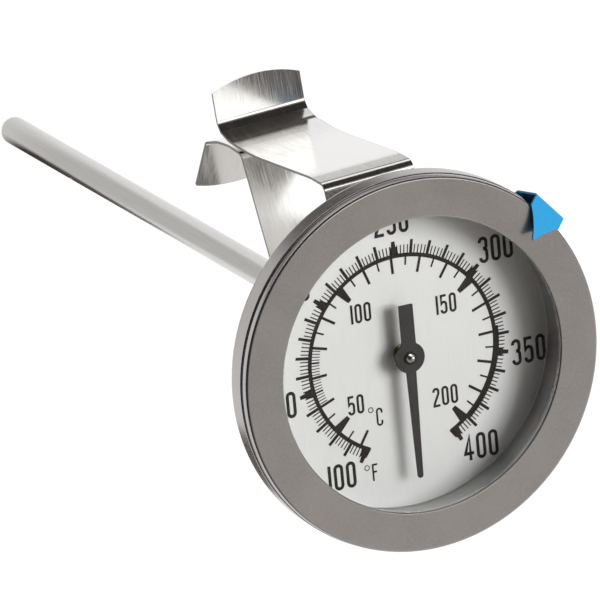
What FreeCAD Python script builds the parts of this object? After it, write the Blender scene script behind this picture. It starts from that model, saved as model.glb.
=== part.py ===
import FreeCAD, Part
import math
import os
from FreeCAD import Rotation, Vector

# Dial thermometer for deep frying, with a sliding pot clip and a target marker on its bezel.
# Units are millimetres.  +Z is the way the dial faces, along the stem's axis, and the stem
# points to -Z.  +Y is the dial's twelve o'clock.  The origin is on the stem's axis, in the
# plane of the lower shoulder of the hexagonal collar.

# ---- driving dimensions ----------------------------------------------------------------
BEZEL_R = 25.5              # outside of the head, a two inch dial
BEZEL_OPENING_R = 19.93     # edge of the bezel round the lens
FRONT_Z = 13.3              # front face of the bezel
DIAL_Z = 6.7                # printed face of the dial plate
CASE_BACK_Z = 4.8           # outside of the case's back
FLANGE_Z = 8.4              # back of the wide flange of the case
SHEET = 0.6                 # case sheet
CUP_R = 22.2                # outside of the narrow part of the case
STEM_R = 2.0
STEM_WALL = 0.3
STEM_LENGTH = 127.0         # from the collar's shoulder to the tip, five inches
COLLAR_FLATS = 10.0         # spanner size of the calibration collar
COLLAR_HEX_HEIGHT = 4.0
NECK_R = 4.4                # neck of the collar, which turns in the case
SHAFT_R = 0.6
PIVOT_R = 0.36              # end of the shaft in front of the pointer
RUNNING = 0.05              # radial clearance of shafts and turning fits
POINTER_Z = 8.8             # underside of the pointer
CLIP_WIDTH = 12.9
CLIP_SHEET = 0.35
CLIP_TURN = 3.2             # degrees that the clip stands turned on the stem
MARKER_ANGLE = 49.1         # degrees clockwise from twelve o'clock

DIAL_R = 21.15
DIAL_SHEET = 0.4
DIAL_HOLE_R = 1.4
SEAT_R = 19.0               # the raised seat of the dial starts here, outside the dished back
SPACER_BORE_R = 21.0
SPACER_FOOT = 0.12          # small chamfer where the ring stands on the dial plate
LENS_R = 23.7
LENS_SHEET = 1.4
GASKET_R = 23.9
GASKET_WIDTH = 2.0
WASHER_R = 7.4
RETAINING_RING_R = 6.4
POINTER_SHEET = 0.25
POINTER_REACH = 16.6        # from the axis to the end of the blade
POINTER_TAIL = 7.25
POINTER_TAIL_WIDTH = 2.0
POINTER_ROOT_WIDTH = 1.48
POINTER_END_WIDTH = 0.76
HUB_R = 2.1
BOSS_R = 1.35
BOSS_SPIGOT_R = 0.85
MARKER_WIDTH = 5.4
MARKER_SHEET = 0.3
ROLL_Z = -20.5              # rolled neck in the stem, which grips the middle bush
ROLL_DEPTH = 0.28
DENT_BALL_R = 1.1
DENT_DEPTH = 0.3
DENT_ANGLE = 228.0          # degrees from +X towards +Y
HELIX_STRIP = 0.2
HELIX_STRIP_WIDTH = 0.85
HELIX_PITCH = 1.15
ANCHOR_R = 1.0
CLIP_TAB_Z = -30.1          # middle of the sheet of the thumb tab, at its bend
TAB_LENGTH = 5.4
TAB_TILT = math.radians(3.5)
LIP_LENGTH = 11.0

# ---- sizes worked out from the driving dimensions --------------------------------------
RIM_Z = FRONT_Z - 1.35              # front of the case's wall
WALL_IN_R = BEZEL_R - SHEET
CUP_IN_R = CUP_R - SHEET
FLANGE_IN_Z = FLANGE_Z + SHEET
SEAT_IN_Z = DIAL_Z - DIAL_SHEET     # the dial plate lies on this face
SEAT_Z = SEAT_IN_Z - SHEET
CASE_BACK_IN_Z = CASE_BACK_Z + SHEET
CASE_HOLE_R = NECK_R + RUNNING
LENS_FRONT_Z = FRONT_Z - 0.9
LENS_BACK_Z = LENS_FRONT_Z - LENS_SHEET
NECK_TOP_Z = CASE_BACK_IN_Z + 0.5
COLLAR_CORNER_R = COLLAR_FLATS / 2 / math.cos(math.pi / 6)
STEM_BORE_R = STEM_R - STEM_WALL
STEM_TOP_Z = NECK_TOP_Z
TIP_Z = -STEM_LENGTH
PLUG_Z = TIP_Z + 2.2                # weld between the tube and its plug
SPIGOT_Z = PLUG_Z + 2.0
DENT_Z = TIP_Z + 26.0               # dent that holds the lower bush
SHAFT_BORE_R = SHAFT_R + RUNNING
SHAFT_LOW_Z = DENT_Z - 3.9
FERRULE_HIGH_Z = DENT_Z - 1.7
HELIX_R = ANCHOR_R + HELIX_STRIP / 2
HELIX_LOW_Z = SPIGOT_Z + 0.6
HELIX_HIGH_Z = SHAFT_LOW_Z + HELIX_STRIP_WIDTH + 0.2
POINTER_HIGH_Z = POINTER_Z + POINTER_SHEET
RIVET_Z = POINTER_HIGH_Z + 0.15     # the boss is riveted over the pointer
SHAFT_HIGH_Z = POINTER_HIGH_Z + 0.85

ORIGIN = Vector(0, 0, 0)
UP = Vector(0, 0, 1)


# ---- helpers ---------------------------------------------------------------------------
def rounded_corner(before, at, after, radius):
    """Start, middle and end of the arc that rounds a corner, and the arc's centre."""
    back = (before - at).normalize()
    on = (after - at).normalize()
    half = back.getAngle(on) / 2
    inward = (back + on).normalize()
    reach = radius / math.tan(half)
    centre = at + inward * (radius / math.sin(half))
    return at + back * reach, centre - inward * radius, at + on * reach, centre


def line(start, end):
    return Part.LineSegment(start, end).toShape()


def arc(start, middle, end):
    return Part.Arc(start, middle, end).toShape()


def joined(stretches):
    """Edges of a closed outline: each stretch is 2 points of a line or 3 points of an arc."""
    edges = []
    for stretch in stretches:
        if (stretch[0] - stretch[-1]).Length > 1e-6:
            edges.append(arc(*stretch) if len(stretch) == 3 else line(*stretch))
    return Part.Wire(edges)


def outline(points, place):
    """Closed wire through (u, v, corner radius) points, set in space by place(u, v)."""
    spots = [place(u, v) for u, v, _ in points]
    corners = []
    for i, (_, _, radius) in enumerate(points):
        if radius:
            after = spots[(i + 1) % len(spots)]
            corners.append(rounded_corner(spots[i - 1], spots[i], after, radius)[:3])
        else:
            corners.append((spots[i], spots[i], spots[i]))
    stretches = []
    for i, corner in enumerate(corners):
        stretches.append(corner)
        stretches.append((corner[2], corners[(i + 1) % len(corners)][0]))
    return joined(stretches)


def turned(points):
    """Solid of revolution about the stem's axis from (radius, z, corner radius) points."""
    section = outline(points, lambda radius, z: Vector(radius, 0, z))
    return Part.Face(section).revolve(ORIGIN, UP, 360)


def tube(outer, inner, low, high):
    return turned([(inner, low, 0), (outer, low, 0), (outer, high, 0), (inner, high, 0)])


def flat_plate(points, low, high):
    """Plate between two heights, from the (x, y, corner radius) points of its outline."""
    plan = outline(points, lambda x, y: Vector(x, y, low))
    return Part.Face(plan).extrude(Vector(0, 0, high - low))


def bent_strip(path, thickness, width):
    """Strip bent from sheet.  path holds (y, z, bend radius) points of its middle line."""
    spots = [Vector(0, y, z) for y, z, _ in path]
    sides = {1: [], -1: []}
    for side, stretches in sides.items():
        for i, spot in enumerate(spots):
            ahead = spots[min(i + 1, len(spots) - 1)]
            behind = spots[max(i - 1, 0)]
            if 0 < i < len(spots) - 1:
                start, middle, end, centre = rounded_corner(behind, spot, ahead, path[i][2])
                turn = (spot - behind).cross(ahead - spot).x
                grow = 1 - side * math.copysign(thickness / 2, turn) / path[i][2]
                bend = [centre + (p - centre) * grow for p in (start, middle, end)]
            else:
                along = (ahead - behind).normalize()
                bend = [spot + Vector(1, 0, 0).cross(along) * side * thickness / 2]
            if stretches:
                stretches.append((stretches[-1][-1], bend[0]))
            stretches.append(tuple(bend) if len(bend) == 3 else (bend[0], bend[0]))
    there = sides[-1]
    back = [stretch[::-1] for stretch in sides[1][::-1]]
    far_end = (there[-1][-1], back[0][0])
    near_end = (back[-1][-1], there[0][0])
    face = Part.Face(joined(there + [far_end] + back + [near_end]))
    face.translate(Vector(-width / 2, 0, 0))
    return face.extrude(Vector(width, 0, 0))


def end_trim(tip, along, half_width, rise):
    """Tool that rounds a strip's end.  The arc's top is at tip, and along points out of it."""
    radius = (half_width ** 2 + rise ** 2) / (2 * rise)
    depth = 6.0
    margin = 1.0
    normal = Vector(1, 0, 0).cross(along)
    disc = Part.makeCylinder(radius, depth, tip - along * radius - normal * depth / 2, normal)
    block = Part.makeBox(2 * (half_width + margin), rise + margin, depth)
    block.translate(Vector(-half_width - margin, -rise, -depth / 2))
    block.Placement = FreeCAD.Placement(tip, Rotation(Vector(0, 1, 0), along)) * block.Placement
    return block.cut(disc)


# ---- head: case, bezel, lens and dial --------------------------------------------------
def make_case_cup():
    """Drawn cup: a dished back with a raised seat for the dial, and a wide flange."""
    slope = 0.7
    seat_in_r = SEAT_R - 0.4
    return turned([
        (CASE_HOLE_R, CASE_BACK_Z, 0),
        (SEAT_R - slope, CASE_BACK_Z, 0.7),
        (SEAT_R, SEAT_Z, 0.4),
        (CUP_R, SEAT_Z, 1.0),
        (CUP_R, FLANGE_Z, 0.4),
        (BEZEL_R, FLANGE_Z, 0.9),
        (BEZEL_R, RIM_Z, 0.28),
        (WALL_IN_R, RIM_Z, 0.2),
        (WALL_IN_R, FLANGE_IN_Z, 0.35),
        (CUP_IN_R, FLANGE_IN_Z, 0.9),
        (CUP_IN_R, SEAT_IN_Z, 0.4),
        (seat_in_r, SEAT_IN_Z, 0.7),
        (seat_in_r - slope, CASE_BACK_IN_Z, 0.3),
        (CASE_HOLE_R, CASE_BACK_IN_Z, 0),
    ])


def make_bezel_ring():
    """Ring that holds the lens: a flat front, a rolled edge with a slight draft, a skirt."""
    skirt_r = WALL_IN_R - RUNNING
    skirt_in_r = skirt_r - 0.7
    skirt_z = FLANGE_IN_Z + 0.1
    step_r = BEZEL_R - 0.1
    step_z = FRONT_Z - 1.05
    face_r = step_r - 0.12
    return turned([
        (BEZEL_OPENING_R, LENS_FRONT_Z, 0.1),
        (BEZEL_OPENING_R, FRONT_Z, 0.25),
        (face_r, FRONT_Z, 0.4),
        (step_r, step_z, 0.12),
        (skirt_r, step_z, 0),
        (skirt_r, skirt_z, 0.2),
        (skirt_in_r, skirt_z, 0.2),
        (skirt_in_r, LENS_FRONT_Z, 0),
    ])


def make_lens():
    return turned([
        (0, LENS_BACK_Z, 0),
        (LENS_R, LENS_BACK_Z, 0.2),
        (LENS_R, LENS_FRONT_Z, 0.2),
        (0, LENS_FRONT_Z, 0),
    ])


def make_lens_gasket():
    """Square rubber ring that the lens is pressed on, with rounded edges."""
    inner = GASKET_R - GASKET_WIDTH
    return turned([
        (inner, FLANGE_IN_Z, 0.3),
        (GASKET_R, FLANGE_IN_Z, 0.3),
        (GASKET_R, LENS_BACK_Z, 0.3),
        (inner, LENS_BACK_Z, 0.3),
    ])


def make_spacer_ring():
    """Ring between the dial plate and the lens, which hides the wall of the case."""
    outer = CUP_IN_R - RUNNING
    return turned([
        (SPACER_BORE_R - SPACER_FOOT, DIAL_Z, 0),
        (outer, DIAL_Z, 0),
        (outer, LENS_BACK_Z, 0),
        (SPACER_BORE_R, LENS_BACK_Z, 0.2),
        (SPACER_BORE_R, DIAL_Z + SPACER_FOOT, 0),
    ])


def make_dial_plate():
    return tube(DIAL_R, DIAL_HOLE_R, SEAT_IN_Z, DIAL_Z)


# ---- stem, with what is fixed to it ----------------------------------------------------
def stem_outer_wall(radius, low, high):
    """Wall points from low to high, with the rolled neck that grips the middle bush."""
    half = 0.9
    deep = radius - ROLL_DEPTH
    return [
        (radius, low, 0),
        (radius, ROLL_Z - half, 0.5),
        (deep, ROLL_Z - half / 2, 0.5),
        (deep, ROLL_Z + half / 2, 0.5),
        (radius, ROLL_Z + half, 0.5),
        (radius, high, 0),
    ]


def dent_ball(radius):
    """Ball that presses the small dent into the stem, or the bump inside it."""
    out = STEM_R + DENT_BALL_R - DENT_DEPTH
    angle = math.radians(DENT_ANGLE)
    return Part.makeSphere(radius, Vector(out * math.cos(angle), out * math.sin(angle), DENT_Z))


def make_stem_tube():
    """Thin tube with a rolled neck and one round dent, each of which grips a bush inside."""
    outside = stem_outer_wall(STEM_R, PLUG_Z, STEM_TOP_Z)
    inside = stem_outer_wall(STEM_BORE_R, PLUG_Z, STEM_TOP_Z)
    body = turned(outside + inside[::-1])
    filling = Part.makeCylinder(STEM_BORE_R, 8, Vector(0, 0, DENT_Z - 4))
    bump = dent_ball(DENT_BALL_R + STEM_WALL).common(filling)
    return body.fuse(bump).cut(dent_ball(DENT_BALL_R)).removeSplitter()


def make_stem_tip():
    """Plug with a rounded nose that closes the tube, welded flush with it."""
    nose = 1.75
    return turned([
        (0, TIP_Z, 0),
        (STEM_R, TIP_Z, nose),
        (STEM_R, PLUG_Z, 0),
        (STEM_BORE_R, PLUG_Z, 0),
        (STEM_BORE_R, SPIGOT_Z, 0.2),
        (0, SPIGOT_Z, 0),
    ])


def make_stem_collar():
    """Hexagonal collar that the stem is fixed in, with a round neck that turns in the case."""
    points = []
    for i in range(6):
        angle = math.radians(60 * i)
        points.append((COLLAR_CORNER_R * math.cos(angle), COLLAR_CORNER_R * math.sin(angle), 0))
    hexagon = flat_plate(points, 0, COLLAR_HEX_HEIGHT)
    chamfered = turned([
        (STEM_R, 0, 0),
        (COLLAR_FLATS / 2 - 0.1, 0, 0),
        (COLLAR_CORNER_R, 0.55, 0),
        (COLLAR_CORNER_R, COLLAR_HEX_HEIGHT - 0.4, 0),
        (COLLAR_FLATS / 2 + 0.1, COLLAR_HEX_HEIGHT, 0),
        (STEM_R, COLLAR_HEX_HEIGHT, 0),
    ])
    neck = tube(NECK_R, STEM_R, COLLAR_HEX_HEIGHT, NECK_TOP_Z)
    return hexagon.common(chamfered).fuse(neck).removeSplitter()


def make_collar_washer():
    """Fibre washer between the collar and the back of the case."""
    return tube(WASHER_R, CASE_HOLE_R, COLLAR_HEX_HEIGHT, CASE_BACK_Z - RUNNING)


def make_retaining_ring():
    """Ring on the neck, inside the case, that keeps the case on the collar."""
    return tube(RETAINING_RING_R, NECK_R, CASE_BACK_IN_Z + RUNNING, NECK_TOP_Z)


def make_guide_bush(low, high):
    return tube(STEM_BORE_R, SHAFT_BORE_R, low, high)


def make_middle_guide_bush():
    """Bush with a waist, which the rolled neck of the stem holds."""
    half = 2.4
    low = ROLL_Z - half
    high = ROLL_Z + half
    outside = stem_outer_wall(STEM_BORE_R, low, high)
    return turned(outside + [(SHAFT_BORE_R, high, 0), (SHAFT_BORE_R, low, 0)])


def make_lower_guide_bush():
    """Bush just above the helix, which the dent in the stem holds."""
    half = 1.5
    plain = make_guide_bush(DENT_Z - half, DENT_Z + half)
    return plain.cut(dent_ball(DENT_BALL_R + STEM_WALL))


def make_helix_anchor():
    """Post on the plug that the lower end of the helix is welded to."""
    height = HELIX_LOW_Z + HELIX_STRIP_WIDTH - SPIGOT_Z
    return Part.makeCylinder(ANCHOR_R, height, Vector(0, 0, SPIGOT_Z))


def make_bimetal_helix():
    """Coiled bimetal strip: its lower end is fixed to the anchor, its upper end turns the shaft."""
    height = HELIX_HIGH_Z - HELIX_LOW_Z - HELIX_STRIP_WIDTH
    path = Part.makeHelix(HELIX_PITCH, height, HELIX_R)
    half_sheet = HELIX_STRIP / 2
    section = outline([
        (HELIX_R - half_sheet, 0, 0),
        (HELIX_R + half_sheet, 0, 0),
        (HELIX_R + half_sheet, HELIX_STRIP_WIDTH, 0),
        (HELIX_R - half_sheet, HELIX_STRIP_WIDTH, 0),
    ], lambda radius, z: Vector(radius, 0, z))
    coil = Part.Wire(path.Edges).makePipeShell([section], True, True)
    coil.translate(Vector(0, 0, HELIX_LOW_Z))
    return coil


# ---- movement: shaft and pointer -------------------------------------------------------
def make_pointer_shaft():
    return turned([
        (0, SHAFT_LOW_Z, 0),
        (SHAFT_R, SHAFT_LOW_Z, 0),
        (SHAFT_R, RIVET_Z, 0),
        (PIVOT_R, RIVET_Z, 0),
        (PIVOT_R, SHAFT_HIGH_Z, 0.2),
        (0, SHAFT_HIGH_Z, 0),
    ])


def make_shaft_ferrule():
    """Sleeve at the foot of the shaft that the upper end of the helix is welded to."""
    return tube(ANCHOR_R, SHAFT_R, SHAFT_LOW_Z, FERRULE_HIGH_Z)


def make_pointer():
    """Flat pointer at rest on room temperature, with a round hub and a short square tail."""
    blade = flat_plate([
        (-POINTER_ROOT_WIDTH / 2, 0, 0),
        (-POINTER_END_WIDTH / 2, -POINTER_REACH, 0.36),
        (POINTER_END_WIDTH / 2, -POINTER_REACH, 0.36),
        (POINTER_ROOT_WIDTH / 2, 0, 0),
    ], POINTER_Z, POINTER_HIGH_Z)
    tail = flat_plate([
        (-POINTER_TAIL_WIDTH / 2, 0, 0),
        (POINTER_TAIL_WIDTH / 2, 0, 0),
        (POINTER_TAIL_WIDTH / 2, POINTER_TAIL, 0.12),
        (-POINTER_TAIL_WIDTH / 2, POINTER_TAIL, 0.12),
    ], POINTER_Z, POINTER_HIGH_Z)
    hub = Part.makeCylinder(HUB_R, POINTER_SHEET, Vector(0, 0, POINTER_Z))
    hole = Part.makeCylinder(BOSS_SPIGOT_R, 2, Vector(0, 0, POINTER_Z - 1))
    return hub.fuse([blade, tail]).cut(hole).removeSplitter()


def make_pointer_boss():
    """Small bush, pressed on the shaft and riveted in the pointer's hub."""
    low = POINTER_Z - 1.3
    return turned([
        (SHAFT_R, low, 0),
        (BOSS_R, low, 0.1),
        (BOSS_R, POINTER_Z, 0),
        (BOSS_SPIGOT_R, POINTER_Z, 0),
        (BOSS_SPIGOT_R, RIVET_Z, 0),
        (SHAFT_R, RIVET_Z, 0),
    ])


# ---- target marker and pot clip --------------------------------------------------------
def make_target_marker():
    """Folded sheet marker that hooks over the rim: an arrow in front, a flap and a hook."""
    hook_z = FLANGE_Z - MARKER_SHEET / 2 - 0.1
    shoulder_r = 25.1
    flank_r = 23.55
    tip_r = 21.7
    half_width = MARKER_WIDTH / 2
    half_flank = 1.2
    half_tip = 0.12
    strip = bent_strip([
        (tip_r, FRONT_Z + 1.67, 0),
        (26.68, FRONT_Z - 0.45, 0.3),
        (25.85, hook_z, 0.4),
        (23.8, hook_z, 0),
    ], MARKER_SHEET, MARKER_WIDTH)
    low = FRONT_Z - 0.1
    shoulder = Vector(half_width, shoulder_r, low)
    shoulder_out = Vector(MARKER_WIDTH, shoulder_r, low)
    tip = Vector(half_tip, tip_r, low)
    past_tip = Vector(half_tip, tip_r - 1, low)
    past_tip_out = Vector(MARKER_WIDTH, tip_r - 1, low)
    flank = [
        (shoulder_out, shoulder),
        (shoulder, Vector(half_flank, flank_r, low), tip),
        (tip, past_tip),
        (past_tip, past_tip_out),
        (past_tip_out, shoulder_out),
    ]
    right = Part.Face(joined(flank)).extrude(Vector(0, 0, 4))
    left = right.mirror(ORIGIN, Vector(1, 0, 0))
    marker = strip.cut([right, left])
    marker.rotate(ORIGIN, UP, -MARKER_ANGLE)
    return marker


def make_pot_clip():
    """Spring clip bent from one strip: the stem goes through two of its plates, and a pot's
    wall goes up between the lip and the outer blade."""
    half_width = CLIP_WIDTH / 2
    tab_bend = Vector(0, 25.0, CLIP_TAB_Z)
    tab_way = Vector(0, math.cos(TAB_TILT), -math.sin(TAB_TILT))
    tab_end = tab_bend + tab_way * TAB_LENGTH
    lip_bend = Vector(0, 21.0, -35.3)
    lip_way = Vector(0, -0.78, -0.626)
    lip_end = lip_bend + lip_way * LIP_LENGTH
    strip = bent_strip([
        (tab_end.y, tab_end.z, 0),
        (tab_bend.y, tab_bend.z, 1.2),
        (23.9, -29.3, 0.35),
        (23.2, -26.9, 4.0),
        (22.95, -19.5, 60.0),
        (24.45, -0.3, 14.0),
        (24.35, 3.9, 1.1),
        (22.4, 4.25, 0.5),
        (-9.4, -9.6, 1.15),
        (-9.4, -11.9, 1.15),
        (22.2, -23.3, 1.0),
        (22.5, -27.2, 10.0),
        (22.1, -31.2, 10.0),
        (lip_bend.y, lip_bend.z, 1.2),
        (lip_end.y, lip_end.z, 0),
    ], CLIP_SHEET, CLIP_WIDTH)
    hole = Part.makeCylinder(STEM_R + 0.1, 40, Vector(0, 0, -30))
    trims = [
        end_trim(tab_end, tab_way, half_width, 1.3),
        end_trim(lip_end, lip_way, half_width, 1.6),
    ]
    clip = strip.cut([hole] + trims)
    clip.rotate(ORIGIN, UP, CLIP_TURN)
    return clip


NODES = {
    "case_cup": make_case_cup,
    "bezel_ring": make_bezel_ring,
    "lens": make_lens,
    "lens_gasket": make_lens_gasket,
    "spacer_ring": make_spacer_ring,
    "dial_plate": make_dial_plate,
    "stem_tube": make_stem_tube,
    "stem_tip": make_stem_tip,
    "stem_collar": make_stem_collar,
    "collar_washer": make_collar_washer,
    "retaining_ring": make_retaining_ring,
    "upper_guide_bush": lambda: make_guide_bush(STEM_TOP_Z - 3.0, STEM_TOP_Z),
    "middle_guide_bush": make_middle_guide_bush,
    "lower_guide_bush": make_lower_guide_bush,
    "helix_anchor": make_helix_anchor,
    "bimetal_helix": make_bimetal_helix,
    "pointer_shaft": make_pointer_shaft,
    "shaft_ferrule": make_shaft_ferrule,
    "pointer": make_pointer,
    "pointer_boss": make_pointer_boss,
    "target_marker": make_target_marker,
    "pot_clip": make_pot_clip,
}

os.makedirs("parts", exist_ok=True)
for node, make in NODES.items():
    shape = make()
    box = shape.BoundBox
    print(f"{node:18s} solids {len(shape.Solids)}  valid {shape.isValid()}  "
          f"volume {shape.Volume:8.2f}  x {box.XMin:.2f} {box.XMax:.2f}  "
          f"y {box.YMin:.2f} {box.YMax:.2f}  z {box.ZMin:.2f} {box.ZMax:.2f}")
    shape.exportStep(f"parts/{node}.step")
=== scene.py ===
import math

import bmesh
import bpy
from mathutils import Matrix, Vector


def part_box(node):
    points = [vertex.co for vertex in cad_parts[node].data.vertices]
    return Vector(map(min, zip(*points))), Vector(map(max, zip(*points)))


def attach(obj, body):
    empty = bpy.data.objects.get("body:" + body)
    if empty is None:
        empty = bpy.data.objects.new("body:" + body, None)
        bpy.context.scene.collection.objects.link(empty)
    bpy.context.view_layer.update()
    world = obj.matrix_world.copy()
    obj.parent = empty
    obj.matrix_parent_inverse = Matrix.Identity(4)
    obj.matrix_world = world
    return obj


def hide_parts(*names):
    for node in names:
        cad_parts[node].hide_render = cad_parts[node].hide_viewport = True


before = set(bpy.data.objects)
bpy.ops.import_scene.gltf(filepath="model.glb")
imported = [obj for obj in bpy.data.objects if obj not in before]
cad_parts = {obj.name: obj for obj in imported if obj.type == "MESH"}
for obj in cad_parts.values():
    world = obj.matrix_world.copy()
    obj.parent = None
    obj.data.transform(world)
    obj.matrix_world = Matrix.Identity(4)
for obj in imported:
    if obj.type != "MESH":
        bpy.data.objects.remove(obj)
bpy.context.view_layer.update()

# Looks of the dial thermometer.  Everything is in metres in the CAD frame: the dial faces +Z,
# twelve o'clock is +Y, and the stem points to -Z.  Small sizes are millimetres times MM.
MM = 0.001


# ---- helpers ---------------------------------------------------------------------------
# Sockets of a Mix node that mixes colours.
MIX_FROM = 6
MIX_TO = 7
MIX_OUT = 2


class Nodes:
    """Short calls that add shader nodes to a material or a world."""

    def __init__(self, owner):
        owner.use_nodes = True
        self.tree = owner.node_tree
        self.tree.nodes.clear()

    def link(self, source, target):
        self.tree.links.new(source, target)

    def node(self, kind, values=None, **settings):
        made = self.tree.nodes.new("ShaderNode" + kind)
        for key, value in settings.items():
            setattr(made, key, value)
        for key, value in (values or {}).items():
            made.inputs[key].default_value = value
        return made

    def maths(self, operation, first, second=0.0):
        made = self.node("Math", operation=operation)
        for socket, value in zip(made.inputs, (first, second)):
            if isinstance(value, (int, float)):
                socket.default_value = value
            else:
                self.link(value, socket)
        return made.outputs["Value"]

    def spread(self, value, low, high, start=0.3, end=0.7, curve="LINEAR"):
        """value from start to end, mapped to low to high."""
        made = self.node("MapRange", {"From Min": start, "From Max": end,
                                      "To Min": low, "To Max": high}, interpolation_type=curve)
        self.link(value, made.inputs["Value"])
        return made.outputs["Result"]

    def blend(self, factor, start, end):
        """Colour from start to end, as factor goes from 0 to 1."""
        made = self.node("Mix", data_type="RGBA")
        made.inputs[MIX_FROM].default_value = start
        made.inputs[MIX_TO].default_value = end
        self.link(factor, made.inputs["Factor"])
        return made.outputs[MIX_OUT]

    def mix_shaders(self, factor, first, second):
        made = self.node("MixShader")
        for source, socket in zip((factor, first, second), made.inputs):
            self.link(source, socket)
        return made.outputs["Shader"]

    def mapped(self, vector, values, **settings):
        """vector after a Mapping node."""
        made = self.node("Mapping", values, **settings)
        self.link(vector, made.inputs["Vector"])
        return made.outputs["Vector"]

    def place(self, stretch=(1, 1, 1)):
        """Object coordinates, scaled along each axis."""
        return self.mapped(self.node("TexCoord").outputs["Object"], {"Scale": stretch})


def add_object(name, data):
    """New object at the origin."""
    made = bpy.data.objects.new(name, data)
    bpy.context.scene.collection.objects.link(made)
    return made


def add_mesh(name, mesh, material):
    """New object with that bmesh, which is freed."""
    data = bpy.data.meshes.new(name)
    mesh.to_mesh(data)
    mesh.free()
    data.materials.append(material)
    return add_object(name, data)


# ---- materials -------------------------------------------------------------------------
class Finish(Nodes):
    """A material with one Principled shader."""

    def __init__(self, name, colour, roughness, metallic=1.0, **sockets):
        self.material = bpy.data.materials.new(name)
        super().__init__(self.material)
        self.output = self.node("OutputMaterial")
        self.colour = (*colour, 1.0)
        values = {"Base Color": self.colour, "Roughness": roughness, "Metallic": metallic}
        for key, value in sockets.items():
            values[key.replace("_", " ")] = value
        self.shader = self.node("BsdfPrincipled", values)
        self.link(self.shader.outputs["BSDF"], self.output.inputs["Surface"])

    def noise(self, per_mm, stretch=(1, 1, 1), detail=3.0, place=None):
        """Noise with about per_mm features in a millimetre, before the stretch."""
        made = self.node("TexNoise", {"Scale": per_mm / MM, "Detail": detail})
        self.link(place or self.place(stretch), made.inputs["Vector"])
        return made.outputs["Fac"]

    def tint(self, factor, dark, light):
        """The base colour times dark to light, as factor goes from 0 to 1."""
        ends = [(*[part * shade for part in self.colour[:3]], 1) for shade in (dark, light)]
        self.link(self.blend(factor, *ends), self.shader.inputs["Base Color"])

    def rough(self, factor, low, high):
        self.link(self.spread(factor, low, high), self.shader.inputs["Roughness"])

    def bump(self, height, depth_mm):
        made = self.node("Bump", {"Distance": depth_mm * MM})
        self.link(height, made.inputs["Height"])
        self.link(made.outputs["Normal"], self.shader.inputs["Normal"])

    def glow(self, strength, colour=None):
        """Shine instead, so that lamps and shadows leave the material alone."""
        shine = self.node("Emission", {"Color": self.colour, "Strength": strength})
        if colour:
            self.link(colour, shine.inputs["Color"])
        self.link(shine.outputs["Emission"], self.output.inputs["Surface"])


def blasted_steel(name, colour, roughness):
    """Satin steel with a fine even grain and faint wide clouds."""
    finish = Finish(name, colour, roughness)
    grain = finish.noise(per_mm=5.0, detail=2.0)
    clouds = finish.noise(per_mm=0.12)
    both = finish.maths("ADD", finish.spread(grain, -0.5, 0.5), finish.spread(clouds, 0.0, 1.0))
    finish.tint(both, dark=0.93, light=1.06)
    finish.rough(clouds, roughness - 0.03, roughness + 0.03)
    finish.bump(grain, depth_mm=0.004)
    return finish.material


def drawn_steel(name, colour, roughness, stretch, streak=0.08):
    """Steel with fine lines along one direction: stretch is small along the lines."""
    finish = Finish(name, colour, roughness)
    lines = finish.noise(per_mm=7.0, stretch=stretch, detail=4.0)
    finish.tint(finish.spread(lines, 0.0, 1.0), dark=1 - streak, light=1 + streak / 2)
    finish.rough(lines, roughness - 0.04, roughness + 0.04)
    finish.bump(lines, depth_mm=0.004)
    return finish.material


def bright_strip(name, colour, roughness, half_width, turn):
    """Rolled bright strip with fine lines along it and dull sheared edges.  It is turned
    about Z, and half_width is in millimetres."""
    finish = Finish(name, colour, roughness)
    spot = finish.node("TexCoord").outputs["Object"]
    turned = finish.mapped(spot, {"Rotation": (0, 0, -turn)})
    lines = finish.noise(per_mm=12.0, place=finish.mapped(turned, {"Scale": ALONG_CLIP}))
    split = finish.node("SeparateXYZ")
    finish.link(turned, split.inputs[0])
    aside = finish.maths("ABSOLUTE", split.outputs["X"])
    dull_from, dull_to = [(half_width - margin) * MM for margin in DULL_MARGIN]
    dull = finish.maths("MULTIPLY", finish.spread(aside, 0.0, 1.0, dull_from, dull_to), DULLNESS)
    shade = finish.maths("SUBTRACT", finish.spread(lines, 0.94, 1.0), dull)
    finish.tint(shade, dark=0.0, light=1.0)
    finish.rough(lines, roughness - 0.08, roughness + 0.1)
    finish.bump(lines, depth_mm=0.0002)
    return finish.material


def turned_metal(name, colour, roughness):
    """Metal turned on a lathe about the stem's axis: fine rings."""
    finish = Finish(name, colour, roughness)
    rings = finish.node("TexWave", {"Scale": 900.0, "Distortion": 1.5, "Detail": 2.0},
                        wave_type="RINGS", rings_direction="Z")
    finish.link(finish.place(), rings.inputs["Vector"])
    stain = finish.noise(per_mm=0.3)
    finish.tint(finish.spread(stain, 0.0, 1.0), dark=0.88, light=1.06)
    finish.rough(stain, roughness - 0.04, roughness + 0.05)
    finish.bump(rings.outputs["Fac"], depth_mm=0.002)
    return finish.material


def rubber(name, colour):
    finish = Finish(name, colour, 0.6, metallic=0.0)
    grain = finish.noise(per_mm=4.0)
    finish.tint(grain, dark=0.8, light=1.3)
    finish.rough(grain, 0.5, 0.7)
    finish.bump(grain, depth_mm=0.01)
    return finish.material


def fibre(name, colour):
    """Pressed fibre with strands across the stem's axis."""
    finish = Finish(name, colour, 0.7, metallic=0.0)
    strands = finish.noise(per_mm=3.0, stretch=(1.0, 1.0, 3.0), detail=6.0)
    finish.tint(strands, dark=0.6, light=1.4)
    finish.rough(strands, 0.6, 0.8)
    finish.bump(strands, depth_mm=0.02)
    return finish.material


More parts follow.
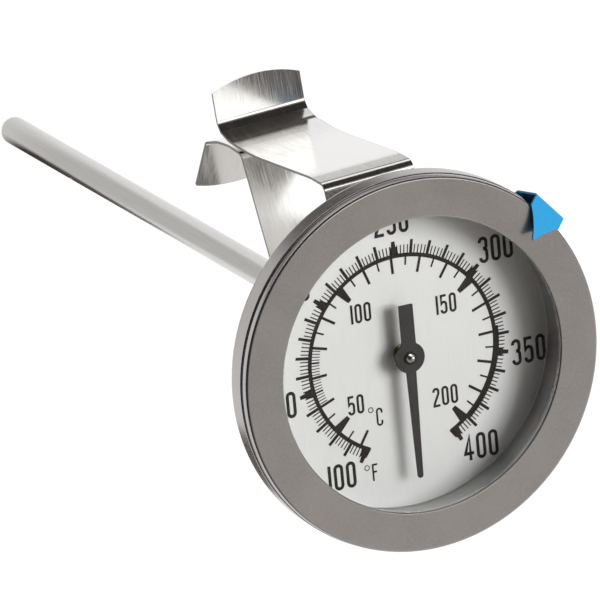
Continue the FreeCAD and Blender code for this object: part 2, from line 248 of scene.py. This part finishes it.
def dial_paint(name, colour):
    """Silver satin paint over faintly brushed metal."""
    finish = Finish(name, colour, 0.45, metallic=0.05, Specular_IOR_Level=0.3)
    lines = finish.noise(per_mm=6.0, stretch=(1.0, 0.03, 1.0))
    finish.tint(finish.spread(lines, 0.0, 1.0), dark=0.975, light=1.015)
    finish.rough(lines, 0.42, 0.48)
    finish.bump(lines, depth_mm=0.001)
    return finish.material


def satin_paint(name, colour, roughness, grain_mm=0.004, gloss=0.12):
    """Paint with a slight orange peel, grain_mm deep."""
    finish = Finish(name, colour, roughness, metallic=0.0, Specular_IOR_Level=gloss)
    orange_peel = finish.noise(per_mm=2.5)
    speckle = finish.noise(per_mm=9.0, detail=1.0)
    finish.tint(finish.spread(speckle, 0.0, 1.0), dark=0.9, light=1.08)
    finish.rough(orange_peel, roughness - 0.04, roughness + 0.05)
    finish.bump(orange_peel, grain_mm)
    return finish.material


def clear_glass(name):
    """Flat window glass.  Lamps shine through it."""
    finish = Finish(name, (0.985, 0.995, 0.99), 0.0, metallic=0.0, Transmission_Weight=1.0,
                    IOR=1.14)
    smear = finish.noise(per_mm=0.08, detail=2.0)
    finish.rough(smear, 0.0, 0.012)
    see_through = finish.node("BsdfTransparent").outputs["BSDF"]
    path = finish.node("LightPath").outputs
    lamp_light = finish.maths("MAXIMUM", path["Is Shadow Ray"], path["Is Diffuse Ray"])
    glass = finish.mix_shaders(lamp_light, finish.shader.outputs["BSDF"], see_through)
    finish.link(glass, finish.output.inputs["Surface"])
    return finish.material


ALONG_CASE = (1.0, 1.0, 0.3)
ALONG_STEM = (1.0, 1.0, 0.02)
ALONG_CLIP = (1.0, 0.02, 0.02)
CLIP_HALF_WIDTH = 6.45
CLIP_TURN = math.radians(3.2)
DULL_MARGIN = (0.05, 0.02)     # from the strip's edge, in millimetres: dullness starts, is full
DULLNESS = 0.75

# A finish for each of the material slots in model.glb.
finishes = {
    "bezel_steel": blasted_steel("bezel_steel_satin", (0.48, 0.463, 0.452), 0.28),
    "case_steel": drawn_steel("case_steel_drawn", (0.45, 0.43, 0.42), 0.22, ALONG_CASE),
    "lens_glass": clear_glass("lens_glass_clear"),
    "seal_rubber": rubber("seal_rubber_black", (0.03, 0.03, 0.03)),
    "inner_ring_aluminium": blasted_steel("inner_ring_satin", (0.50, 0.50, 0.49), 0.45),
    "dial_face": dial_paint("dial_silver_paint", (0.695, 0.695, 0.685)),
    "stem_steel": drawn_steel("stem_steel_drawn", (0.63, 0.62, 0.60), 0.2, ALONG_STEM, 0.06),
    "collar_steel": turned_metal("collar_steel_turned", (0.60, 0.585, 0.565), 0.28),
    "fibre_washer": fibre("fibre_washer_brown", (0.14, 0.06, 0.035)),
    "bush_brass": turned_metal("bush_brass_turned", (0.72, 0.52, 0.22), 0.25),
    "bimetal_strip": drawn_steel("bimetal_rolled", (0.5, 0.45, 0.38), 0.3, ALONG_CASE),
    "shaft_steel": turned_metal("shaft_steel_ground", (0.45, 0.44, 0.43), 0.2),
    "pointer_black": satin_paint("pointer_dark_paint", (0.04, 0.037, 0.037), 0.5),
    "boss_brass": turned_metal("boss_brass_turned", (0.025, 0.022, 0.02), 0.35),
    "marker_blue": satin_paint("marker_blue_paint", (0.026, 0.33, 0.66), 0.35, 0.006, 0.3),
    "clip_steel": bright_strip("clip_steel_bright", (0.88, 0.87, 0.85), 0.16, CLIP_HALF_WIDTH,
                               CLIP_TURN),
}
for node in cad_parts.values():
    slot = node.material_slots[0].material.name.split(".")[0]
    for material_slot in node.material_slots:
        material_slot.material = finishes[slot]


# ---- bezel -----------------------------------------------------------------------------
# The bezel's outline again, in millimetres, turned in finer steps than the CAD mesh so that
# its small round edges shine evenly.
OPENING_R = 19.93
SKIRT_INSET = 0.65             # the case's sheet and the gap inside it
SKIRT = 0.7
DRAFT = 0.12
STEP = 1.05
TURN_STEPS = 360
EDGE_STEPS = 8
SHARP = math.radians(30)


def rounded(corners):
    """Closed outline through corners of (radius, height, rounding)."""
    outline = []
    for i, (*corner, rounding) in enumerate(corners):
        corner = Vector(corner)
        before = (Vector(corners[i - 1][:2]) - corner).normalized()
        after = (Vector(corners[(i + 1) % len(corners)][:2]) - corner).normalized()
        if not rounding:
            outline.append(corner)
            continue
        half = before.angle(after) / 2
        middle = corner + (before + after).normalized() * rounding / math.sin(half)
        start = corner + before * rounding / math.tan(half) - middle
        end = corner + after * rounding / math.tan(half) - middle
        sweep = start.angle(end)
        for step in range(EDGE_STEPS + 1):
            turn = sweep * step / EDGE_STEPS
            arm = start * math.sin(sweep - turn) + end * math.sin(turn)
            outline.append(middle + arm / math.sin(sweep))
    return outline


def turn_bezel():
    """Ring that holds the lens: a flat front, an edge with a slight draft, and a skirt."""
    low, high = (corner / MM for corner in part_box("bezel_ring"))
    lens_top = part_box("lens")[1].z / MM
    skirt_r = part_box("case_cup")[1].x / MM - SKIRT_INSET
    outline = rounded([
        (OPENING_R, lens_top, 0.1),
        (OPENING_R, high.z, 0.25),
        (high.x - DRAFT, high.z, 0.4),
        (high.x, high.z - STEP, 0.12),
        (skirt_r, high.z - STEP, 0),
        (skirt_r, low.z, 0.2),
        (skirt_r - SKIRT, low.z, 0.2),
        (skirt_r - SKIRT, lens_top, 0),
    ])
    mesh = bmesh.new()
    rows = []
    for step in range(TURN_STEPS):
        turn = 2 * math.pi * step / TURN_STEPS
        rows.append([mesh.verts.new((r * MM * math.sin(turn), r * MM * math.cos(turn), z * MM))
                     for r, z in outline])
    for i, row in enumerate(rows):
        for j in range(len(outline)):
            mesh.faces.new((rows[i - 1][j - 1], row[j - 1], row[j], rows[i - 1][j]))
    bmesh.ops.recalc_face_normals(mesh, faces=mesh.faces)
    bezel = add_mesh("bezel", mesh, finishes["bezel_steel"])
    bezel.data.shade_smooth()
    bezel.data.set_sharp_from_angle(angle=SHARP)
    bezel.modifiers.new("flats", "WEIGHTED_NORMAL").keep_sharp = True
    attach(bezel, "head")
    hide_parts("bezel_ring")


turn_bezel()


# ---- print on the dial -----------------------------------------------------------------
# Radii and widths of the print, in millimetres on the dial's face.  Angles are in degrees
# clockwise from twelve o'clock.
DIAL_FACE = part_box("dial_plate")[1].z
PRINT_LIFT = 0.004
PRINT_HEIGHT = 0.02
PRINT_COAT = 0.004
PRINT_INK = satin_paint("dial_print_ink", (0.022, 0.018, 0.016), 0.5)

RING_IN = 13.1
RING_OUT = 13.65
RING_OVERHANG = 2.4            # degrees of ring past the first and last marks
FRY_OUT = 13.97
FRY_ZONE = (335.0, 390.0)
OVERLAP = 0.1                  # of marks that join

F_TOP = 250.0                  # degrees Fahrenheit at twelve o'clock
F_ANGLE = 1.01                 # turn for each degree Fahrenheit
F_LOW, F_HIGH = 100, 400
C_LOW, C_HIGH = 40, 200
C_FINE = (60, 80)              # between these the Celsius scale has a mark for each degree

# Where marks end or begin, and their widths at the inner and the outer end.
F_WEDGE_OUT, F_WEDGE = 14.6, (1.4, 1.0)
F_BLOCK_OUT, F_BLOCK = 15.4, (0.64, 0.5)
F_TEN_OUT, F_TEN = 15.45, (0.42, 0.4)
F_TWO_OUT, F_TWO = 14.78, (0.16, 0.15)
C_WEDGE_IN, C_WEDGE = 11.0, (0.62, 1.3)
C_TEN_IN, C_TEN = 11.05, (0.37, 0.37)
C_FIVE_IN, C_FIVE = 12.0, (0.24, 0.24)
C_ONE = (0.12, 0.12)


def angle_of(fahrenheit):
    return (fahrenheit - F_TOP) * F_ANGLE


def celsius_angle(celsius):
    return angle_of(32 + 1.8 * celsius)


def on_dial(radius, angle, aside=0.0):
    """Point on the dial, aside millimetres clockwise of the ray at angle."""
    turn = math.radians(angle)
    return (radius * math.sin(turn) + aside * math.cos(turn),
            radius * math.cos(turn) - aside * math.sin(turn))


class Print:
    """Printed marks, built as thin closed prisms just above the dial."""

    def __init__(self, name):
        self.name = name
        self.mesh = bmesh.new()

    def strip(self, left, right, closed=False, coats=0):
        """Prism over the band between two rows of (x, y) points.  Marks that cross have
        different numbers of extra coats, so that their tops never share a plane."""
        low = DIAL_FACE + PRINT_LIFT * MM
        high = low + (PRINT_HEIGHT + coats * PRINT_COAT) * MM
        rows = []
        for row in (left, right):
            for z in (low, high):
                rows.append([self.mesh.verts.new((x * MM, y * MM, z)) for x, y in row])
        left_low, left_high, right_low, right_high = rows
        count = len(left)
        for i in range(count if closed else count - 1):
            j = (i + 1) % count
            for a, b in ((left_high, right_high), (right_high, right_low),
                         (right_low, left_low), (left_low, left_high)):
                self.mesh.faces.new((a[i], b[i], b[j], a[j]))
        if not closed:
            for i in (0, -1):
                self.mesh.faces.new((left_low[i], left_high[i], right_high[i], right_low[i]))

    def band(self, inner, outer, start, end):
        """Part of a ring."""
        steps = max(2, round(abs(end - start) / 2))
        angles = [start + (end - start) * i / steps for i in range(steps + 1)]
        self.strip([on_dial(inner, a) for a in angles], [on_dial(outer, a) for a in angles])

    def ray(self, angle, radii, widths, coats=1):
        """Mark along a radius, with its width at each of the radii."""
        self.strip([on_dial(r, angle, -w / 2) for r, w in zip(radii, widths)],
                   [on_dial(r, angle, w / 2) for r, w in zip(radii, widths)], coats=coats)

    def stroke(self, points, width, closed=False):
        """Line of even width through (x, y) points."""
        spots = [Vector(p) for p in points]
        left, right = [], []
        for i, spot in enumerate(spots):
            behind = spots[i - 1] if closed or i else spot
            ahead = spots[(i + 1) % len(spots)] if closed or i < len(spots) - 1 else spot
            before = (spot - behind).normalized()
            after = (ahead - spot).normalized()
            along = (before + after).normalized()
            across = Vector((-along.y, along.x))
            reach = width / 2
            if before.length and after.length:
                reach /= max(0.5, along.dot(before))
            left.append(spot + across * reach)
            right.append(spot - across * reach)
        self.strip(left, right, closed)

    def finish(self):
        bmesh.ops.recalc_face_normals(self.mesh, faces=self.mesh.faces)
        piece = add_mesh(self.name, self.mesh, PRINT_INK)
        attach(piece, "head")


def fahrenheit_scale():
    ink = Print("fahrenheit_scale")
    ink.band(RING_IN, RING_OUT, angle_of(F_LOW) - RING_OVERHANG,
             angle_of(F_HIGH) + RING_OVERHANG)
    ink.band(RING_OUT - OVERLAP, FRY_OUT, angle_of(FRY_ZONE[0]), angle_of(FRY_ZONE[1]))
    for value in range(F_LOW, F_HIGH + 1, 2):
        angle = angle_of(value)
        start = (FRY_OUT if FRY_ZONE[0] < value < FRY_ZONE[1] else RING_OUT) - OVERLAP
        if value % 50 == 0:
            ink.ray(angle, (RING_IN + OVERLAP, F_WEDGE_OUT), F_WEDGE)
            ink.ray(angle, (F_WEDGE_OUT - OVERLAP, F_BLOCK_OUT), F_BLOCK, coats=2)
        elif value % 10 == 0:
            ink.ray(angle, (start, F_TEN_OUT), F_TEN)
        else:
            ink.ray(angle, (start, F_TWO_OUT), F_TWO)
    ink.finish()


def celsius_scale():
    ink = Print("celsius_scale")
    start = RING_IN + OVERLAP
    for value in range(C_LOW, C_HIGH + 1):
        angle = celsius_angle(value)
        if value % 50 == 0:
            ink.ray(angle, (C_WEDGE_IN, start), C_WEDGE)
        elif value % 10 == 0:
            ink.ray(angle, (C_TEN_IN, start), C_TEN)
        elif value % 5 == 0:
            ink.ray(angle, (C_FIVE_IN, start), C_FIVE)
        elif C_FINE[0] < value < C_FINE[1]:
            ink.ray(angle, (C_FIVE_IN, start), C_ONE)
    ink.finish()


# Figures are lines of even width on a grid one unit high and NARROW wide.
NARROW = 0.3
GAP = 0.26
BOW = NARROW / 2
TOP = 1 - BOW


def bow(x, y, rise, start, end, steps=8):
    """Points of an arc as wide as a figure, rise high, from start to end in degrees."""
    turns = [math.radians(start + (end - start) * i / steps) for i in range(steps + 1)]
    return [(x + BOW * math.cos(t), y + rise * math.sin(t)) for t in turns]


# For each figure its width and its lines, each of them closed or not.
FIGURES = {
    "0": (NARROW, [(True, bow(BOW, TOP, BOW, 0, 180) + bow(BOW, BOW, BOW, 180, 360))]),
    "1": (0.0, [(False, [(0, -0.06), (0, 1.06)])]),
    "2": (NARROW, [(False, bow(BOW, TOP, BOW, 195, 0)
                    + [(0.29, 0.7), (0.02, 0.13), (0, 0), (NARROW + 0.06, 0)])]),
    "3": (NARROW, [(False, bow(BOW, TOP, BOW, 190, 0) + bow(BOW, 0.68, 0.13, -20, -90, 4)
                    + bow(BOW, 0.40, 0.15, 90, 20, 4) + bow(BOW, BOW, BOW, 0, -190))]),
    "4": (NARROW, [(False, [(0.2, -0.06), (0.2, 1.0), (-0.03, 0.25), (0.36, 0.25)])]),
    "5": (NARROW, [(False, [(NARROW + 0.02, 1), (0.02, 1), (0, 0.52)]
                    + bow(BOW, 0.48, 0.15, 150, 0, 6) + bow(BOW, BOW, BOW, 0, -190))]),
    "C": (NARROW, [(False, [(NARROW, 0.72)] + bow(BOW, TOP, BOW, 0, 180)
                    + bow(BOW, BOW, BOW, 180, 360) + [(NARROW, 0.28)])]),
    "F": (NARROW, [(False, [(NARROW + 0.02, 1), (0, 1), (0, -0.06)]),
                   (False, [(0, 0.53), (NARROW - 0.04, 0.53)])]),
}


def letter(ink, text, centre, height, width):
    """Upright figures about centre, with lines of that width."""
    size = height - width
    widths = [FIGURES[figure][0] for figure in text]
    x = centre[0] - size * (sum(widths) + GAP * (len(text) - 1)) / 2
    y = centre[1] - size / 2
    for figure, advance in zip(text, widths):
        for closed, points in FIGURES[figure][1]:
            ink.stroke([(x + px * size, y + py * size) for px, py in points], width, closed)
        x += (advance + GAP) * size


def degree_sign(ink, centre, radius=0.33, width=0.12):
    turns = [math.radians(angle) for angle in range(0, 360, 15)]
    ring = [(centre[0] + radius * math.cos(t), centre[1] + radius * math.sin(t)) for t in turns]
    ink.stroke(ring, width, closed=True)


def fahrenheit_numbers():
    ink = Print("fahrenheit_numbers")
    places = {100: (-10.2, -14.82), 150: (-17.75, -3.55), 200: (-14.9, 11.8),
              250: (-0.03, 18.15), 300: (14.58, 11.6), 350: (18.05, -3.3),
              400: (10.04, -14.86)}
    for value, centre in places.items():
        letter(ink, str(value), centre, height=3.62, width=0.44)
    degree_sign(ink, (-6.56, -14.44))
    letter(ink, "F", (-5.42, -15.24), height=2.35, width=0.25)
    ink.finish()


def celsius_numbers():
    ink = Print("celsius_numbers")
    places = {50: (-7.33, -5.51), 100: (-5.44, 6.74), 150: (6.8, 5.46), 200: (5.53, -6.99)}
    for value, centre in places.items():
        letter(ink, str(value), centre, height=2.66, width=0.33)
    degree_sign(ink, (-5.28, -6.69))
    letter(ink, "C", (-4.1, -7.85), height=2.5, width=0.26)
    ink.finish()


fahrenheit_scale()
celsius_scale()
fahrenheit_numbers()
celsius_numbers()


# ---- floor, light and camera -----------------------------------------------------------
TIP_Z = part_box("stem_tip")[0].z
# Height of the glowing table with the painted shade, just under the tip.
PAINTED_SHADE_TABLE_Z = TIP_Z - 0.2 * MM
FLOOR_Z = TIP_Z - 25.0 * MM    # clear of the pot clip when it slides down past the tip
FLOOR_GLOW = 1.05
TABLE_R = 0.55

# Painted shade for the steel to mirror: dark and grey ovals on a glowing table, standing in for
# shadow and a dark room.
# Each has its middle, half sizes along X and Y, and depth of shade.
# They are oval, full out to PAINTED_SHADE_SOLID of their size and faded away by PAINTED_SHADE_FADED of it.
PAINTED_SHADE_OVALS = [
    ((0.0, 0.112), (0.3, 0.032), 1.0),
    ((-0.032, -0.078), (0.04, 0.018), 1.0),
    ((-0.002, -0.0185), (0.0105, 0.0175), 1.0),
    ((-0.045, 0.02), (0.048, 0.05), 0.35),
]
# Colour of the painted shade in the middle of each oval.
PAINTED_SHADE_COLOUR = (0.06, 0.045, 0.035, 1)
PAINTED_SHADE_SOLID = 0.75
PAINTED_SHADE_FADED = 1.15

# Lobes of the studio: direction, inner and outer edge in degrees, value inside and outside.
WALL = ((0.55, -0.70, 0.45), 25, 75, 0.66, 0.035)
SAIL = ((0.36, 0.30, 0.88), 14, 30, 1.6, 0.0)
HOOD = ((0.37, -0.09, 0.925), 7, 11, 0.12, 1.0)
BOARD = ((0.32, 0.64, 0.70), 7, 15, 0.1, 1.0)
WARM = (1.0, 0.88, 0.78, 1)
WHITE = (1, 1, 1, 1)
ROOM_GLOW = 1.1                # of the white that only the camera sees

KEY_WAY = (0.565, 0.195, 0.805)
KEY_DISTANCE = 0.6
KEY_SIZE = 0.33
KEY_RADIANCE = 11.2

CAMERA_PLACE = (-0.4550, 0.3652, 1.0555)
CAMERA_RIGHT = (0.9069, -0.0891, 0.4117)
CAMERA_BACK = (-0.3702, 0.2978, 0.8799)
LENS_LENGTH = 549.4            # millimetres, on a sensor 36 wide


def white_floor():
    """White that lamps and shadows leave alone."""
    floor = Finish("floor_white", (1.0, 1.0, 1.0), 0.8, metallic=0.0)
    floor.glow(FLOOR_GLOW)
    return floor.material


def card_table():
    """White glowing board with painted shade on it: dark and grey ovals that stand in for shadow
    and a dark room, for the steel to mirror.
    """
    table = Finish("card_table", (1.0, 1.0, 1.0), 0.8, metallic=0.0)
    # dark gathers the painted shade of all the ovals.
    dark = 0.0
    for middle, reach, depth in PAINTED_SHADE_OVALS:
        spot = table.mapped(table.place(), {"Location": (*middle, 0), "Scale": (*reach, 1)},
                            vector_type="TEXTURE")
        length = table.node("VectorMath", operation="LENGTH")
        table.link(spot, length.inputs[0])
        card = table.spread(length.outputs["Value"], 0.0, depth, PAINTED_SHADE_FADED, PAINTED_SHADE_SOLID,
                            "SMOOTHSTEP")
        dark = table.maths("MAXIMUM", card, dark)
    # The painted shade darkens the glow, which no lamp or shadow changes.
    table.glow(1.0, table.blend(dark, table.colour, PAINTED_SHADE_COLOUR))
    return table.material


def table_top(name, height, material):
    """Round sheet under the thermometer."""
    mesh = bmesh.new()
    bmesh.ops.create_circle(mesh, cap_ends=True, segments=96, radius=TABLE_R)
    top = add_mesh(name, mesh, material)
    top.location.z = height
    return top


def make_key_light():
    """Round lamp that shines at the head, with no mirror image in the steel."""
    data = bpy.data.lights.new("key_light", "AREA")
    data.shape = "DISK"
    data.size = KEY_SIZE
    area = math.pi * (KEY_SIZE / 2) ** 2
    data.energy = KEY_RADIANCE * math.pi * area
    light = add_object("key_light", data)
    way = Vector(KEY_WAY).normalized()
    light.location = way * KEY_DISTANCE
    light.rotation_euler = way.to_track_quat("Z", "Y").to_euler()
    light.visible_glossy = False


def lobe(studio, towards, inner, outer, inside, outside):
    """Value in the world's nodes: inside within inner degrees of a direction, outside past
    outer degrees, and smooth between."""
    along = studio.node("VectorMath", operation="DOT_PRODUCT")
    studio.link(studio.node("TexCoord").outputs["Generated"], along.inputs[0])
    along.inputs[1].default_value = Vector(towards).normalized()
    return studio.spread(along.outputs["Value"], outside, inside, math.cos(math.radians(outer)),
                         math.cos(math.radians(inner)), "SMOOTHSTEP")


def make_world():
    """Studio round the table.  The camera sees it white.  The steel sees a dark warm room with
    a large pale wall on the six o'clock side, and a white sail overhead between a dark hood
    and a dark board."""
    world = bpy.data.worlds.new("studio")
    bpy.context.scene.world = world
    studio = Nodes(world)
    wall, sail, hood, board = (lobe(studio, *part) for part in (WALL, SAIL, HOOD, BOARD))
    pale = studio.maths("MAXIMUM", wall, sail)
    brightness = studio.maths("MULTIPLY", pale, studio.maths("MULTIPLY", hood, board))
    room = studio.node("Background")
    studio.link(studio.blend(brightness, WARM, WHITE), room.inputs["Color"])
    studio.link(brightness, room.inputs["Strength"])
    white = studio.node("Background", {"Color": WHITE, "Strength": ROOM_GLOW})
    seen = studio.node("LightPath").outputs["Is Camera Ray"]
    mix = studio.mix_shaders(seen, room.outputs["Background"], white.outputs["Background"])
    studio.link(mix, studio.node("OutputWorld").inputs["Surface"])


def make_camera():
    """Long lens above and in front of the dial, turned so that the stem runs to the left."""
    data = bpy.data.cameras.new("camera")
    data.sensor_width = 36.0
    data.lens = LENS_LENGTH
    data.clip_end = 20.0
    camera = add_object("camera", data)
    back = Vector(CAMERA_BACK).normalized()
    above = back.cross(Vector(CAMERA_RIGHT)).normalized()
    turn = Matrix((above.cross(back), above, back)).transposed()
    camera.matrix_world = Matrix.Translation(CAMERA_PLACE) @ turn.to_4x4()
    bpy.context.scene.camera = camera


table_top("floor", FLOOR_Z, white_floor())
# Hidden from the camera: only the steel's reflections and the light from this table show its
# painted shade.
table_top("card_table", PAINTED_SHADE_TABLE_Z, card_table()).visible_camera = False
make_world()
make_key_light()
make_camera()
bpy.context.scene.view_settings.view_transform = "Standard"
